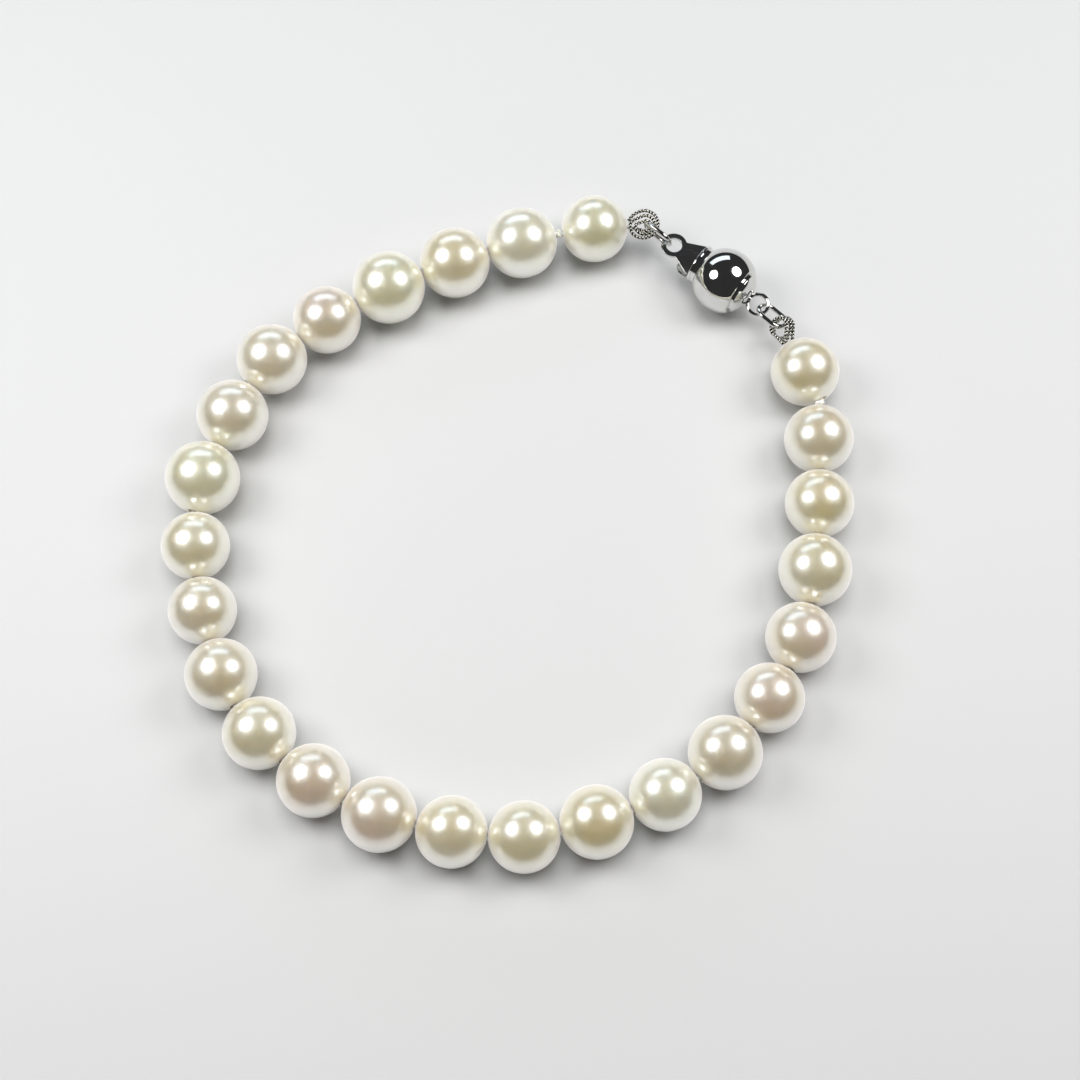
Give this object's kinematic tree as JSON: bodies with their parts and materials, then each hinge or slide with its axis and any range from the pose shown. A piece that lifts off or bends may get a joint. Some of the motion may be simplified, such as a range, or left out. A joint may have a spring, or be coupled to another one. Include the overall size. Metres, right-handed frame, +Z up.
{
  "type": "pearl bracelet",
  "caption": "Strand bracelet of round drilled pearls on knotted silk, closed by a push-in ball clasp with jump rings and French wire, fastened and lying flat.",
  "frame": {"origin": "under the middle of the laid bracelet's bounding box, on the surface that it rests on", "axes": "+Z up; +Y from the front of the loop towards the clasp's side of it; +X to the right, with the clasp at the right of the far side"},
  "size_m": [0.0642, 0.066, 0.007],
  "materials": {
    "nacre_greenish": "lustrous polished nacre with a greenish body tone and soft mirror-like lustre",
    "nacre_silver": "lustrous polished nacre with a silver body tone and soft mirror-like lustre",
    "nacre_cream": "lustrous polished nacre with a cream body tone and soft mirror-like lustre",
    "nacre_pinkish": "lustrous polished nacre with a pinkish body tone and soft mirror-like lustre",
    "nacre_beige": "lustrous polished nacre with a beige body tone and soft mirror-like lustre",
    "nacre_olive": "lustrous polished nacre with a olive body tone and soft mirror-like lustre",
    "nacre_golden": "lustrous polished nacre with a golden body tone and soft mirror-like lustre",
    "silk": "twisted off-white beading silk",
    "white_metal": "mirror-polished white precious metal",
    "bright_wire": "fine bright wire wound in a close coil"
  },
  "bodies": {
    "root": {"pearl_01": "nacre_greenish", "pearl_02": "nacre_silver", "pearl_03": "nacre_cream", "pearl_04": "nacre_greenish", "pearl_05": "nacre_pinkish", "pearl_06": "nacre_beige", "pearl_07": "nacre_beige", "pearl_08": "nacre_greenish", "pearl_09": "nacre_olive", "pearl_10": "nacre_beige", "pearl_11": "nacre_beige", "pearl_12": "nacre_olive", "pearl_13": "nacre_pinkish", "pearl_14": "nacre_pinkish", "pearl_15": "nacre_cream", "pearl_16": "nacre_olive", "pearl_17": "nacre_golden", "pearl_18": "nacre_silver", "pearl_19": "nacre_beige", "pearl_20": "nacre_pinkish", "pearl_21": "nacre_pinkish", "pearl_22": "nacre_olive", "pearl_23": "nacre_golden", "pearl_24": "nacre_beige", "pearl_25": "nacre_golden", "silk_thread": "silk", "clasp_ball": "white_metal", "clasp_tongue": "white_metal", "jump_ring_tongue": "white_metal", "jump_ring_ball": "white_metal", "french_wire_tongue": "bright_wire", "french_wire_ball": "bright_wire"}
  },
  "joints": []
}
